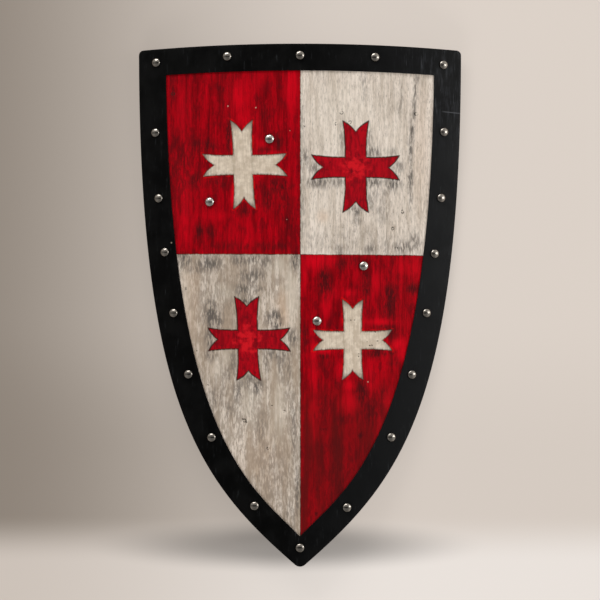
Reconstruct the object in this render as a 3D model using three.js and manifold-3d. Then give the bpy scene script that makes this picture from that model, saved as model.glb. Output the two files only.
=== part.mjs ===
// Heater shield: a curved wooden board edged with a riveted steel band, and two leather arm straps behind.
// Millimetres. It lies face up: +Z is up, +Y runs to the straight top edge, the point is at -Y.
import * as THREE from "three";
import { mergeVertices } from "three/addons/utils/BufferGeometryUtils.js";
import Module from "manifold-3d";

// Overall form. x is across and y is up from the point, both square to the front, and h is out from the face.
const HEIGHT = 749.7;
const HALF_WIDTH = 234.2;
const FACE_RADIUS = 600; // the face is part of a cylinder whose axis runs up the shield
const TOP_ARCH_RADIUS = 5600;
const CORNER_RADIUS = 7;
const POINT_RADIUS = 10.8;

// The side edge is one curve: it leaves the point at a slant and ends upright at the top corner.
const SIDE_CURVE = [[0, -3.5], [139, 116.7], [HALF_WIDTH, 216.2], [HALF_WIDTH, 751]];
// The band's inner edge, the same way, inside it.
const BAND_HALF_OPENING = 194.1;
const BAND_CURVE = [[0, 43.3], [65, 112.1], [BAND_HALF_OPENING, 179], [BAND_HALF_OPENING, 750]];
const BAND_TOP_WIDTH = 38.6;
const BAND_CORNER_RADIUS = 1.5;

const BOARD_THICKNESS = 9.5;
const STEEL_THICKNESS = 1.5;
const LIP_DEPTH = 7; // how far the band's turned edge reaches down the board's own edge
const GAP = 0.3; // air left between pieces that touch
const EDGE_STEPS = 26; // straight stretches along each side curve
const TOP_STEPS = 8; // the same, from each top corner to the middle
const CORNER_STEPS = 4;
const POINT_STEPS = 6;
const COLUMNS = 31; // flat strips that make up the curved face; odd, so that one is at the middle
const HALF_SPAN = THREE.MathUtils.degToRad(25); // half the angle those strips cover

// Rivets through the band, laid by hand along its middle, so left and right differ a little.
const RIM_RIVETS = [
  [-211, 726.4], [-107.6, 732.2], [0, 732.8], [110.8, 731.2], [210.5, 723.1],
  [211.3, 625.8], [207.1, 530.1], [197.5, 449.2], [185.6, 363.4], [164.1, 274.5], [134.1, 184.7],
  [67.1, 84.5],
  [0, 27.2],
  [-65.1, 86.9], [-130.1, 184.5], [-163.7, 275], [-185.4, 363.4], [-198.2, 451.4], [-207.3, 529.6],
  [-212.1, 624.8],
];
const RIVET = { head: 6.5, dome: 3.9, shank: 2.4, tail: 4.2, tailThickness: 1.5 };
const STRAP_RIVET = { head: 6.8, dome: 4.2, shank: 2.4, tail: 5.5, tailThickness: 1.8 };
const HOLE_RADIUS = 3;
const RIVET_SIDES = 8;
const HOLE_SIDES = 8;
const DOME_RINGS = 3;
const HEAD_EDGE = 0.4; // upright rim under the dome

// Straps run slantwise between two rivets each and bow away from the board.
const STRAPS = [
  { name: "hand_strap", ends: [[-43.7, 613.1], [-133.4, 523.4]], bow: 30 },
  { name: "forearm_strap", ends: [[94.8, 431], [24.4, 352]], bow: 25 },
];
const STRAP_WIDTH = 38;
const STRAP_THICKNESS = 3.5;
const STRAP_TAB = 20; // leather beyond each rivet
const STRAP_FLAT = 13; // leather that stays flat between a rivet and the bow
const STRAP_CORNER = 9;
const STRAP_GAP = 0.4;
const STRAP_STEPS = 30;
const SLOPE_STEP = 0.5;

// The shield rocks on its two side edges until they touch level with its centre of mass.
const REST_Y = 440;
const REST_STEP = 10;

const MATERIALS = {
  board: new THREE.MeshStandardMaterial({ color: 0x9b1118, roughness: 0.6, metalness: 0 }),
  steel: new THREE.MeshStandardMaterial({ color: 0x1b1c1d, roughness: 0.45, metalness: 0.8 }),
  rivet: new THREE.MeshStandardMaterial({ color: 0xb9b4ac, roughness: 0.2, metalness: 1 }),
  leather: new THREE.MeshStandardMaterial({ color: 0x4a2c1a, roughness: 0.7, metalness: 0 }),
};

const wasm = await Module();
wasm.setup();

// The point at plan place x, y that stands h out from the face, along the face's normal.
function onFace(x, y, h) {
  const angle = Math.asin(x / FACE_RADIUS);
  const radius = FACE_RADIUS + h;
  return new THREE.Vector3(radius * Math.sin(angle), y, radius * Math.cos(angle) - FACE_RADIUS);
}

// Moves every vertex of a geometry by a function, keeping its triangles.
function reshape(geometry, place) {
  const position = geometry.getAttribute("position");
  const vertex = new THREE.Vector3();
  for (let i = 0; i < position.count; i++) {
    vertex.fromBufferAttribute(position, i);
    const { x, y, z } = place(vertex);
    position.setXYZ(i, x, y, z);
  }
  return geometry;
}

function toSolid(geometry) {
  geometry.deleteAttribute("normal");
  geometry.deleteAttribute("uv");
  const merged = mergeVertices(geometry, 1e-4);
  return new wasm.Manifold(new wasm.Mesh({
    numProp: 3,
    vertProperties: new Float32Array(merged.getAttribute("position").array),
    triVerts: new Uint32Array(merged.index.array),
  }));
}

function toGeometry(solid) {
  const mesh = solid.getMesh();
  const geometry = new THREE.BufferGeometry();
  geometry.setAttribute("position", new THREE.BufferAttribute(mesh.vertProperties, 3));
  geometry.setIndex(new THREE.BufferAttribute(mesh.triVerts, 1));
  geometry.computeVertexNormals();
  return geometry;
}

// Points of the round that joins the straight lines a-corner and corner-b.
function round(a, corner, b, radius, steps) {
  const toA = a.clone().sub(corner).normalize();
  const toB = b.clone().sub(corner).normalize();
  const half = toA.angleTo(toB) / 2;
  const middle = toA.clone().add(toB).normalize();
  const centre = corner.clone().addScaledVector(middle, radius / Math.sin(half));
  const start = corner.clone().addScaledVector(toA, radius / Math.tan(half)).sub(centre);
  const end = corner.clone().addScaledVector(toB, radius / Math.tan(half)).sub(centre);
  const turn = Math.atan2(start.cross(end), start.dot(end));
  const points = [];
  for (let i = 0; i <= steps; i++) {
    const at = start.clone().rotateAround(new THREE.Vector2(), (turn * i) / steps);
    points.push(at.add(centre));
  }
  return points;
}

// A heater outline, from the point round by the right: side curve, top corner and arched top, then the left
// side as its mirror image.
function heaterOutline(curve, topY, cornerRadius, pointRadius) {
  const side = new THREE.CubicBezierCurve(...curve.map(([x, y]) => new THREE.Vector2(x, y)));
  const archedTop = (x) => topY - x ** 2 / (2 * TOP_ARCH_RADIUS);
  const cornerX = curve[3][0];
  const corner = new THREE.Vector2(cornerX, archedTop(cornerX));
  const belowCorner = new THREE.Vector2(cornerX, corner.y - cornerRadius);
  const besideCorner = new THREE.Vector2(cornerX - cornerRadius, archedTop(cornerX - cornerRadius));
  const point = side.getPoint(0);
  const nearPoint = side.getPoint(0.02);
  const mirrored = (at) => new THREE.Vector2(-at.x, at.y);
  const pointRound = round(mirrored(nearPoint), point, nearPoint, pointRadius, POINT_STEPS);
  const right = pointRound.slice(POINT_STEPS / 2);
  const clearance = 1.5; // radii kept free at either round, so that no side point crowds it
  for (const at of side.getSpacedPoints(EDGE_STEPS)) {
    const clearOfPoint = at.distanceTo(point) > pointRadius * clearance;
    if (clearOfPoint && at.y < corner.y - cornerRadius * clearance) right.push(at);
  }
  right.push(...round(belowCorner, corner, besideCorner, cornerRadius, CORNER_STEPS));
  for (let i = 1; i < TOP_STEPS; i++) {
    const x = (cornerX - cornerRadius) * (1 - i / TOP_STEPS);
    right.push(new THREE.Vector2(x, archedTop(x)));
  }
  const left = right.slice(1).reverse().map(mirrored);
  return [...right, new THREE.Vector2(0, topY), ...left];
}

// The outline moved inwards by a distance, each point along the middle of its two edges' normals.
function inset(outline, distance) {
  return outline.map((at, i) => {
    const before = outline.at(i - 1);
    const after = outline[(i + 1) % outline.length];
    const normalIn = at.clone().sub(before).normalize();
    const normalOut = after.clone().sub(at).normalize();
    const inwards = normalIn.clone().add(normalOut).normalize();
    const stretch = inwards.dot(normalIn);
    return new THREE.Vector2(-inwards.y, inwards.x).multiplyScalar(distance / stretch).add(at);
  });
}

// Everything inside an outline, with walls square to the curved face, reaching well past it both ways.
function prism(outline) {
  const reach = 90;
  const shape = new THREE.Shape(outline);
  const geometry = new THREE.ExtrudeGeometry(shape, { depth: 2 * reach, bevelEnabled: false });
  return toSolid(reshape(geometry, ({ x, y, z }) => onFace(x, y, z - reach)));
}

// A curved sheet between two distances from the face, longer than the shield by a margin at both ends.
function sheet(low, high) {
  const margin = 40;
  const geometry = new THREE.BoxGeometry(2, HEIGHT + 2 * margin, 1, COLUMNS, 1, 1);
  const place = ({ x, y, z }) => {
    const h = z < 0 ? low : high;
    return onFace(FACE_RADIUS * Math.sin(x * HALF_SPAN), y + HEIGHT / 2, h);
  };
  return toSolid(reshape(geometry, place));
}

// Where a rivet stands: its own z axis along the face's normal.
function seat([x, y]) {
  return new THREE.Matrix4().makeRotationY(Math.asin(x / FACE_RADIUS)).setPosition(onFace(x, y, 0));
}

function drill(solid, places) {
  const reach = 60;
  for (const place of places) {
    const bit = new THREE.CylinderGeometry(HOLE_RADIUS, HOLE_RADIUS, reach, HOLE_SIDES);
    bit.rotateX(Math.PI / 2).applyMatrix4(seat(place));
    solid = solid.subtract(toSolid(bit));
  }
  return solid;
}

const bandOutline = heaterOutline(SIDE_CURVE, HEIGHT, CORNER_RADIUS, POINT_RADIUS);
const strapRivets = STRAPS.flatMap(({ ends }) => ends);

function boardSolid() {
  const blank = sheet(-BOARD_THICKNESS, 0).intersect(prism(inset(bandOutline, STEEL_THICKNESS + GAP)));
  return drill(blank, [...RIM_RIVETS, ...strapRivets]);
}

// A flat flange over the face and a lip turned down the board's edge, in one piece.
function bandSolid() {
  const opening = heaterOutline(BAND_CURVE, HEIGHT - BAND_TOP_WIDTH, BAND_CORNER_RADIUS, BAND_CORNER_RADIUS);
  const blank = sheet(-LIP_DEPTH, GAP + STEEL_THICKNESS).intersect(prism(bandOutline));
  const roomForBoard = sheet(-2 * LIP_DEPTH, GAP).intersect(prism(inset(bandOutline, STEEL_THICKNESS)));
  return drill(blank.subtract(roomForBoard).subtract(prism(opening)), RIM_RIVETS);
}

// A domed head, a shank and a hammered tail, turned about z. The head and the tail are each seated at their
// own height.
function rivetGeometry({ head, dome, shank, tail, tailThickness }, headSeat, tailSeat) {
  const tailFlat = 0.75 * tail;
  const profile = [[0, tailSeat - tailThickness], [tailFlat, tailSeat - tailThickness], [tail, tailSeat]];
  profile.push([shank, tailSeat], [shank, headSeat], [head, headSeat]);
  for (let ring = 0; ring < DOME_RINGS; ring++) {
    const angle = (ring / DOME_RINGS) * (Math.PI / 2);
    profile.push([head * Math.cos(angle), headSeat + HEAD_EDGE + (dome - HEAD_EDGE) * Math.sin(angle)]);
  }
  profile.push([0, headSeat + dome]);
  const points = profile.map(([x, y]) => new THREE.Vector2(x, y));
  return new THREE.LatheGeometry(points, RIVET_SIDES).rotateX(Math.PI / 2);
}

// A strip of leather that lies flat under both rivets and bows out between them.
function strapGeometry(from, to, bow) {
  const start = new THREE.Vector2(...from);
  const along = new THREE.Vector2(...to).sub(start);
  const length = along.length();
  along.normalize();
  const across = new THREE.Vector2(-along.y, along.x);
  const span = length - 2 * STRAP_FLAT;
  const whole = length + 2 * STRAP_TAB;
  const bowAt = (u) => {
    const part = THREE.MathUtils.clamp((u - STRAP_FLAT) / span, 0, 1);
    return (bow * (1 - Math.cos(2 * Math.PI * part))) / 2;
  };
  const geometry = new THREE.BoxGeometry(whole, 2, 1, STRAP_STEPS, 2, 1);
  return reshape(geometry, ({ x, y, z }) => {
    const u = x + length / 2;
    const slope = (bowAt(u + SLOPE_STEP) - bowAt(u - SLOPE_STEP)) / (2 * SLOPE_STEP);
    const lean = Math.hypot(1, slope);
    const depth = z > 0 ? 0 : STRAP_THICKNESS;
    const fromEnd = whole / 2 - Math.abs(x);
    const cut = THREE.MathUtils.clamp(STRAP_CORNER - fromEnd, 0, STRAP_CORNER);
    const halfWidth = STRAP_WIDTH / 2 - STRAP_CORNER + Math.sqrt(STRAP_CORNER ** 2 - cut ** 2);
    const centre = start.clone().addScaledVector(along, u - (depth * slope) / lean);
    centre.addScaledVector(across, y * halfWidth);
    return onFace(centre.x, centre.y, -BOARD_THICKNESS - STRAP_GAP - bowAt(u) - depth / lean);
  });
}

// The shield stands here as drawn: point at y 0, face towards +Z.
const shield = new THREE.Group();

function addPiece(name, geometry, material) {
  const mesh = new THREE.Mesh(geometry, material);
  mesh.name = name;
  shield.add(mesh);
  return mesh;
}

addPiece("board", toGeometry(boardSolid()), MATERIALS.board);
addPiece("rim_band", toGeometry(bandSolid()), MATERIALS.steel);

const rimRivet = rivetGeometry(RIVET, 2 * GAP + STEEL_THICKNESS, -BOARD_THICKNESS - GAP);
RIM_RIVETS.forEach((place, i) => {
  const mesh = addPiece(`rim_rivet_${String(i + 1).padStart(2, "0")}`, rimRivet, MATERIALS.rivet);
  mesh.applyMatrix4(seat(place));
});

const strapRivet = rivetGeometry(STRAP_RIVET, GAP, -BOARD_THICKNESS - STRAP_GAP - STRAP_THICKNESS - GAP);
for (const { name, ends, bow } of STRAPS) {
  const strip = toSolid(strapGeometry(...ends, bow));
  addPiece(name, toGeometry(drill(strip, ends)), MATERIALS.leather);
  ["upper", "lower"].forEach((end, i) => {
    const mesh = addPiece(`${name}_rivet_${end}`, strapRivet, MATERIALS.rivet);
    mesh.applyMatrix4(seat(ends[i]));
  });
}

// Turn the shield so that the board's lowest edges are level where it rests, then stand it on z 0.
function restingTilt() {
  const backEdge = (y) => {
    const side = bandOutline.filter(({ x }) => x > 0);
    const i = side.findIndex((at) => at.y > y);
    const part = (y - side[i - 1].y) / (side[i].y - side[i - 1].y);
    const x = THREE.MathUtils.lerp(side[i - 1].x, side[i].x, part);
    return onFace(x - STEEL_THICKNESS - GAP, y, -BOARD_THICKNESS).z;
  };
  return Math.atan2(backEdge(REST_Y - REST_STEP) - backEdge(REST_Y + REST_STEP), 2 * REST_STEP);
}

const lying = new THREE.Group();
lying.add(shield);
shield.rotation.x = restingTilt();
lying.updateMatrixWorld(true);
const bounds = new THREE.Box3().setFromObject(lying, true);
const middle = bounds.getCenter(new THREE.Vector3());
shield.position.set(-middle.x, -middle.y, -bounds.min.z);

export default lying;
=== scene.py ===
import math

import bmesh
import bpy
import numpy as np
from mathutils import Matrix, Vector, noise
from mathutils.geometry import interpolate_bezier


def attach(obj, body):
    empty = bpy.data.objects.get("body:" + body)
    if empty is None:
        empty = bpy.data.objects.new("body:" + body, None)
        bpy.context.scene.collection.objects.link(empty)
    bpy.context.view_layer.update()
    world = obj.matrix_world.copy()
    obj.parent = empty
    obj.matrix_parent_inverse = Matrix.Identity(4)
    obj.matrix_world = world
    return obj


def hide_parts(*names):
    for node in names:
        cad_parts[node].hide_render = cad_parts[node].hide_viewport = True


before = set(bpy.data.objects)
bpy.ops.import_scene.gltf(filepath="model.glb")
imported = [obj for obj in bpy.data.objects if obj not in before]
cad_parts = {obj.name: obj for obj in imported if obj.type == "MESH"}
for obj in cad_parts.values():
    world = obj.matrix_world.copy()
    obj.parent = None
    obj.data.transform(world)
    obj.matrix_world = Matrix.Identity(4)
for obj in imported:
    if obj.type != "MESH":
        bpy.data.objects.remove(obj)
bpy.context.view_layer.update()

# ---- Place of the shield --------------------------------------------------------------------------------
# It rests tilted by a few degrees on its back edges, and the domes of the rivets at its top and its point show
# how. "Plan" places are millimetres on the shield itself: x across, y up from the point, h out from the face,
# which is part of a cylinder.
MM = 0.001
FACE_RADIUS = 600
RIM_DOME_TOP = 6.0
BOTTOM_RIVET_Y = 27.2


def dome_top(node):
    """The highest point of a rivet that lies in its place."""
    return max((v.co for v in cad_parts[node].data.vertices), key=lambda co: co.z).copy()


upper_dome = dome_top("rim_rivet_03")
lower_dome = dome_top("rim_rivet_13")
tilt = math.atan2(upper_dome.z - lower_dome.z, upper_dome.y - lower_dome.y)
turn = Matrix.Rotation(tilt, 4, "X")
plan_origin = lower_dome - turn @ Vector((0, BOTTOM_RIVET_Y * MM, RIM_DOME_TOP * MM))
plan_origin.x = 0
stand = Matrix.Translation(plan_origin) @ turn


def lay_on_face(piece):
    """Wraps a flat piece, drawn in plan millimetres, round the curved face and lays it down."""
    mesh = piece.data
    flat = np.empty(len(mesh.vertices) * 3)
    mesh.vertices.foreach_get("co", flat)
    x, y, h = flat.reshape(-1, 3).T
    angle = np.arcsin(x / FACE_RADIUS)
    radius = FACE_RADIUS + h
    curved = np.stack([radius * np.sin(angle), y, radius * np.cos(angle) - FACE_RADIUS], axis=1)
    mesh.vertices.foreach_set("co", (curved * MM).ravel())
    mesh.transform(stand)
    mesh.update()


# ---- Camera ---------------------------------------------------------------------------------------------
# A long lens three metres in front of the face, square to it, looking down on the lying shield.
CAMERA_DISTANCE = 3.0
CAMERA_AIM_Y = 382.2
SENSOR = 36.0
VIEW_WIDTH = 0.860

camera = bpy.data.objects.new("camera", bpy.data.cameras.new("camera"))
camera.data.sensor_width = SENSOR
camera.data.lens = SENSOR * CAMERA_DISTANCE / VIEW_WIDTH
camera.matrix_world = stand @ Matrix.Translation((0, CAMERA_AIM_Y * MM, CAMERA_DISTANCE))
bpy.context.scene.collection.objects.link(camera)
bpy.context.scene.camera = camera
bpy.context.scene.view_settings.view_transform = "Standard"


# ---- Studio ---------------------------------------------------------------------------------------------
# Painted light in the paper floor's pale warm tone: dimmer on the left, palest past the point, a painted
# shadow there.
# The room is dark straight above, where the camera hangs, and three large soft lamps stand round the shield.
def colour(red, green, blue):
    """The linear colour of these 0 to 255 screen values."""
    shares = [value / 255 for value in (red, green, blue)]
    linear = [s / 12.92 if s < 0.04045 else ((s + 0.055) / 1.055) ** 2.4 for s in shares]
    return (*linear, 1.0)


def add(tree, kind, **settings):
    """Adds a shader node with these settings."""
    node = tree.nodes.new(kind)
    for name, value in settings.items():
        setattr(node, name, value)
    return node


def feed(tree, socket, value):
    """Links an output to a socket, or sets the socket to a plain value."""
    if isinstance(value, bpy.types.NodeSocket):
        tree.links.new(value, socket)
    else:
        socket.default_value = value


def calc(tree, operation, *values, clamp=False):
    """The result of a Math node on these values."""
    node = add(tree, "ShaderNodeMath", operation=operation, use_clamp=clamp)
    for socket, value in zip(node.inputs, values):
        feed(tree, socket, value)
    return node.outputs[0]


def ramp(tree, value, low, high, to_low=0.0, to_high=1.0):
    """A smooth change from one value to another as the input passes from low to high."""
    node = add(tree, "ShaderNodeMapRange", interpolation_type="SMOOTHSTEP")
    for socket, given in zip(node.inputs, (value, low, high, to_low, to_high)):
        feed(tree, socket, given)
    return node.outputs[0]


def mix(tree, factor, first, second):
    """Mixes two colours by a factor."""
    node = add(tree, "ShaderNodeMix", data_type="RGBA")
    feed(tree, node.inputs["Factor"], factor)
    colours = [socket for socket in node.inputs if socket.type == "RGBA"]
    feed(tree, colours[0], first)
    feed(tree, colours[1], second)
    return next(socket for socket in node.outputs if socket.type == "RGBA")


def parts_of(tree, vector):
    """The X, Y and Z of a vector."""
    node = add(tree, "ShaderNodeSeparateXYZ")
    tree.links.new(vector, node.inputs[0])
    return node.outputs


def new_material(name, **constants):
    """A material with one Principled shader, whose sockets take the plain values given by name."""
    material = bpy.data.materials.new(name)
    material.use_nodes = True
    shader = material.node_tree.nodes["Principled BSDF"]
    for socket, value in constants.items():
        shader.inputs[socket.replace("_", " ")].default_value = value
    return material, material.node_tree, shader


def lay_over(tree, under, mask, strength, tone):
    """Lays a colour over another one at a strength, where a mask is."""
    return mix(tree, calc(tree, "MULTIPLY", mask, strength), under, colour(*tone))


FLOOR_HALF_SIZE = 6.0
FLOOR_GLOW = 0.7  # the share of its tone that the paper gives off by itself, so that shadows on it stay faint
# painted light in the paper's tones: dimmer on the left, as if lit from the right, and paler past the shield's
# point
FLOOR_LEFT = (141, 131, 121)
FLOOR_RIGHT, FLOOR_RIGHT_LOW = (219, 209, 200), (213, 203, 194)
FLOOR_NEAR_LEFT, FLOOR_NEAR_RIGHT = (203, 193, 184), (233, 226, 220)
DIM_EDGE_LEAN = -0.08
# a painted shadow past the shield's point: its middle and size in metres, its strength and its tone
PAINTED_SHADOW_X, PAINTED_SHADOW_Y = -0.02, -0.347
PAINTED_SHADOW_WIDTH, PAINTED_SHADOW_DEPTH = 0.30, 0.042
PAINTED_SHADOW_STRENGTH, PAINTED_SHADOW_TONE = 0.52, (20, 18, 16)
BLACK = (0.0, 0.0, 0.0, 1.0)

bpy.ops.object.select_all(action="DESELECT")
bpy.ops.mesh.primitive_grid_add(x_subdivisions=8, y_subdivisions=8, size=2 * FLOOR_HALF_SIZE)
floor = bpy.context.object
floor.name = "floor"
floor_paper, tree, shader = new_material(
    "floor_paper", Roughness=0.9, Specular_IOR_Level=0.0, Emission_Strength=FLOOR_GLOW
)
place = parts_of(tree, add(tree, "ShaderNodeTexCoord").outputs["Object"])
# the painted light in the tone changes along these places, in metres on the floor
low = ramp(tree, place["Y"], 0.0, -0.22)
across = ramp(tree, calc(tree, "MULTIPLY_ADD", low, DIM_EDGE_LEAN, place["X"]), -0.55, 0.10)
near = ramp(tree, place["Y"], -0.300, -0.372)
far_right = mix(tree, low, colour(*FLOOR_RIGHT), colour(*FLOOR_RIGHT_LOW))
far_paper = mix(tree, across, colour(*FLOOR_LEFT), far_right)
near_paper = mix(tree, across, colour(*FLOOR_NEAR_LEFT), colour(*FLOOR_NEAR_RIGHT))
paper = mix(tree, near, far_paper, near_paper)
# the painted shadow: a soft dark patch on the paper past the shield's point
sideways = calc(tree, "MULTIPLY", calc(tree, "SUBTRACT", place["X"], PAINTED_SHADOW_X), 1 / PAINTED_SHADOW_WIDTH)
lengthways = calc(tree, "MULTIPLY", calc(tree, "SUBTRACT", place["Y"], PAINTED_SHADOW_Y), 1 / PAINTED_SHADOW_DEPTH)
sideways_squared = calc(tree, "MULTIPLY", sideways, sideways)
off = calc(tree, "SQRT", calc(tree, "MULTIPLY_ADD", lengthways, lengthways, sideways_squared))
paper = lay_over(tree, paper, ramp(tree, off, 1.0, 0.25), PAINTED_SHADOW_STRENGTH, PAINTED_SHADOW_TONE)
feed(tree, shader.inputs["Base Color"], mix(tree, FLOOR_GLOW, paper, BLACK))
feed(tree, shader.inputs["Emission Color"], paper)
floor.data.materials.append(floor_paper)

ROOM_TONE = (1.0, 0.97, 0.94, 1.0)
ROOM_GLOW = 0.025
LAMP_TINT = (1.0, 0.985, 0.975)

world = bpy.data.worlds.new("room")
bpy.context.scene.world = world
world.use_nodes = True
tree = world.node_tree
direction = parts_of(tree, add(tree, "ShaderNodeTexCoord").outputs["Generated"])
lit = ROOM_GLOW
for axis, dark_at, bright_at, strength in (
    ("X", 0.30, 0.85, 0.38),  # right
    ("X", -0.30, -0.85, 0.18),  # left
    ("Y", 0.06, 0.40, 0.55),  # beyond the top edge
    ("Y", -0.10, -0.34, 0.26),  # beyond the point
):
    lit = calc(tree, "ADD", ramp(tree, direction[axis], dark_at, bright_at, 0.0, strength), lit)
room = tree.nodes["Background"]
feed(tree, room.inputs["Color"], ROOM_TONE)
feed(tree, room.inputs["Strength"], lit)


def soft_lamp(name, place, width, height, power):
    """A large lamp that faces the shield. The place and sizes are in metres, the power in watts."""
    data = bpy.data.lights.new(name, "AREA")
    data.shape = "RECTANGLE"
    data.size = width
    data.size_y = height
    data.energy = power
    data.color = LAMP_TINT
    lamp = bpy.data.objects.new(name, data)
    lamp.location = place
    lamp.rotation_euler = (-Vector(place)).to_track_quat("-Z", "Y").to_euler()
    bpy.context.scene.collection.objects.link(lamp)
    return lamp


soft_lamp("lamp_right", (2.5, 0.3, 1.3), 1.0, 1.8, 26)
soft_lamp("lamp_top", (-0.9, 2.6, 1.5), 2.4, 1.0, 56)
lamp_foot = soft_lamp("lamp_foot", (-0.9, -2.7, 1.5), 2.4, 1.0, 56)
lamp_foot.visible_glossy = False  # it would put one more bright spot on every rivet


# ---- Board ----------------------------------------------------------------------------------------------
# Plywood pressed to a curve, 9.5 mm thick, painted by brush on the face and stained dark on the back, with the
# raised grain and small dents of a used shield. The back edge is sloped off, and the steel band holds the rim.
SIDE_CURVE = [(0, -3.5), (139, 116.7), (234.2, 216.2), (234.2, 751)]  # from the point up, as a Bezier curve
HEIGHT = 749.7
TOP_ARCH_RADIUS = 5600
CORNER_RADIUS = 7
POINT_RADIUS = 10.8
STEEL_THICKNESS = 1.5
GAP = 0.3
BOARD_THICKNESS = 9.5
BLANK_WIDTH = 480
BLANK_SPARE = 10
FACE_CUTS = (83, 2)
BACK_CUTS = (70,)
EDGE_SLOPE = 1.2
CUTTER_SPARE = 1.0
FACING = 0.7  # how squarely a face looks out of the front or the back to belong to it
CURVE_POINTS = 600
NEAR_POINT = 12  # the curve point that gives the side's direction where it leaves the shield's point
POINT_CLEAR = 1.2  # where the side starts, in radii of the rounded point
CORNER_CLEAR = 0.5  # how far below the rounded corner the side stops
TIP_STEPS, CORNER_STEPS = 8, 5
SIDE_STEPS, TOP_STEPS = 60, 18


def spaced(points, count):
    """The same line with its points evenly spaced."""
    line = np.array(points)
    steps = np.linalg.norm(np.diff(line, axis=0), axis=1)
    reach = np.concatenate([[0], np.cumsum(steps)])
    wanted = np.linspace(0, reach[-1], count)
    return [(float(np.interp(w, reach, line[:, 0])), float(np.interp(w, reach, line[:, 1]))) for w in wanted]


def rounded(before, corner, after, radius, steps):
    """The arc that rounds a corner between two straight edges."""
    to_before = (Vector(before) - Vector(corner)).normalized()
    to_after = (Vector(after) - Vector(corner)).normalized()
    half = to_before.angle(to_after) / 2
    centre = Vector(corner) + (to_before + to_after).normalized() * radius / math.sin(half)
    start = Vector(corner) + to_before * radius / math.tan(half) - centre
    end = Vector(corner) + to_after * radius / math.tan(half) - centre
    swing = math.atan2(start.x * end.y - start.y * end.x, start.dot(end))
    turned = [Matrix.Rotation(swing * i / steps, 2) @ start for i in range(steps + 1)]
    return [tuple(centre + at) for at in turned]


def heater_outline(curve, top, corner_radius, point_radius):
    """Plan points of a heater shape, from its point up the right side, over the top and down the left."""
    knots = [Vector((x, y, 0)) for x, y in curve]
    side_line = [(p.x, p.y) for p in interpolate_bezier(*knots, CURVE_POINTS)]

    def arched(x):
        return top - x * x / (2 * TOP_ARCH_RADIUS)

    half_width = curve[-1][0]
    corner = (half_width, arched(half_width))
    beside = (half_width - corner_radius, arched(half_width - corner_radius))
    below = (half_width, corner[1] - corner_radius)
    point = side_line[0]
    near = side_line[NEAR_POINT]
    tip = rounded((-near[0], near[1]), point, near, point_radius, TIP_STEPS)[TIP_STEPS // 2:]
    side = [p for p in side_line if math.dist(p, point) > point_radius * POINT_CLEAR]
    side = [p for p in side if p[1] < below[1] - CORNER_CLEAR]
    right = tip + spaced(side, SIDE_STEPS) + rounded(below, corner, beside, corner_radius, CORNER_STEPS)
    for i in range(1, TOP_STEPS):
        x = beside[0] * (1 - i / TOP_STEPS)
        right.append((x, arched(x)))
    left = [(-x, y) for x, y in right[:0:-1]]
    return right + [(0, top)] + left


def inset(outline, distance):
    """The outline moved inwards."""
    moved = []
    for i, at in enumerate(outline):
        before, after = Vector(outline[i - 1]), Vector(outline[(i + 1) % len(outline)])
        going_in = (Vector(at) - before).normalized()
        going_out = (after - Vector(at)).normalized()
        middle = (going_in + going_out).normalized()
        inwards = Vector((-middle.y, middle.x))
        moved.append(tuple(Vector(at) + inwards * distance / middle.dot(going_in)))
    return moved


def select_only(piece):
    bpy.ops.object.select_all(action="DESELECT")
    piece.select_set(True)
    bpy.context.view_layer.objects.active = piece


def edit(piece):
    select_only(piece)
    bpy.ops.object.mode_set(mode="EDIT")


def finish_edit():
    bpy.ops.object.mode_set(mode="OBJECT")


def pick(piece, wanted, kind="faces"):
    """Selects the faces, edges or vertices of the piece in edit mode that a test on their middle accepts."""
    modes = {"faces": {"FACE"}, "edges": {"EDGE"}, "verts": {"VERT"}}
    mesh = bmesh.from_edit_mesh(piece.data)
    mesh.select_mode = modes[kind]
    bpy.ops.mesh.select_all(action="DESELECT")
    for item in getattr(mesh, kind):
        places = [item.co] if kind == "verts" else [v.co for v in item.verts]
        item.select_set(wanted(item, sum(places, Vector()) / len(places)))
    mesh.select_flush_mode()
    bmesh.update_edit_mesh(piece.data)


def apply_modifier(piece, kind, **settings):
    """Gives a piece a modifier with these settings and applies it."""
    modifier = piece.modifiers.new(kind.lower(), kind)
    for name, value in settings.items():
        setattr(modifier, name, value)
    select_only(piece)
    bpy.ops.object.modifier_apply(modifier=modifier.name)


def outline_prism(name, outline, low, high):
    """A circle set to an outline and extruded to a prism."""
    bpy.ops.object.select_all(action="DESELECT")
    bpy.ops.mesh.primitive_circle_add(vertices=len(outline), fill_type="NGON")
    prism = bpy.context.object
    prism.name = name
    for vertex, (x, y) in zip(prism.data.vertices, outline):
        vertex.co = (x, y, low)
    edit(prism)
    bpy.ops.mesh.select_all(action="SELECT")
    bpy.ops.mesh.extrude_region_move(TRANSFORM_OT_translate={"value": (0, 0, high - low)})
    bpy.ops.mesh.select_all(action="SELECT")
    bpy.ops.mesh.normals_make_consistent(inside=False)
    finish_edit()
    return prism


band_outline = heater_outline(SIDE_CURVE, HEIGHT, CORNER_RADIUS, POINT_RADIUS)
board_outline = inset(band_outline, STEEL_THICKNESS + GAP)

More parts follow.
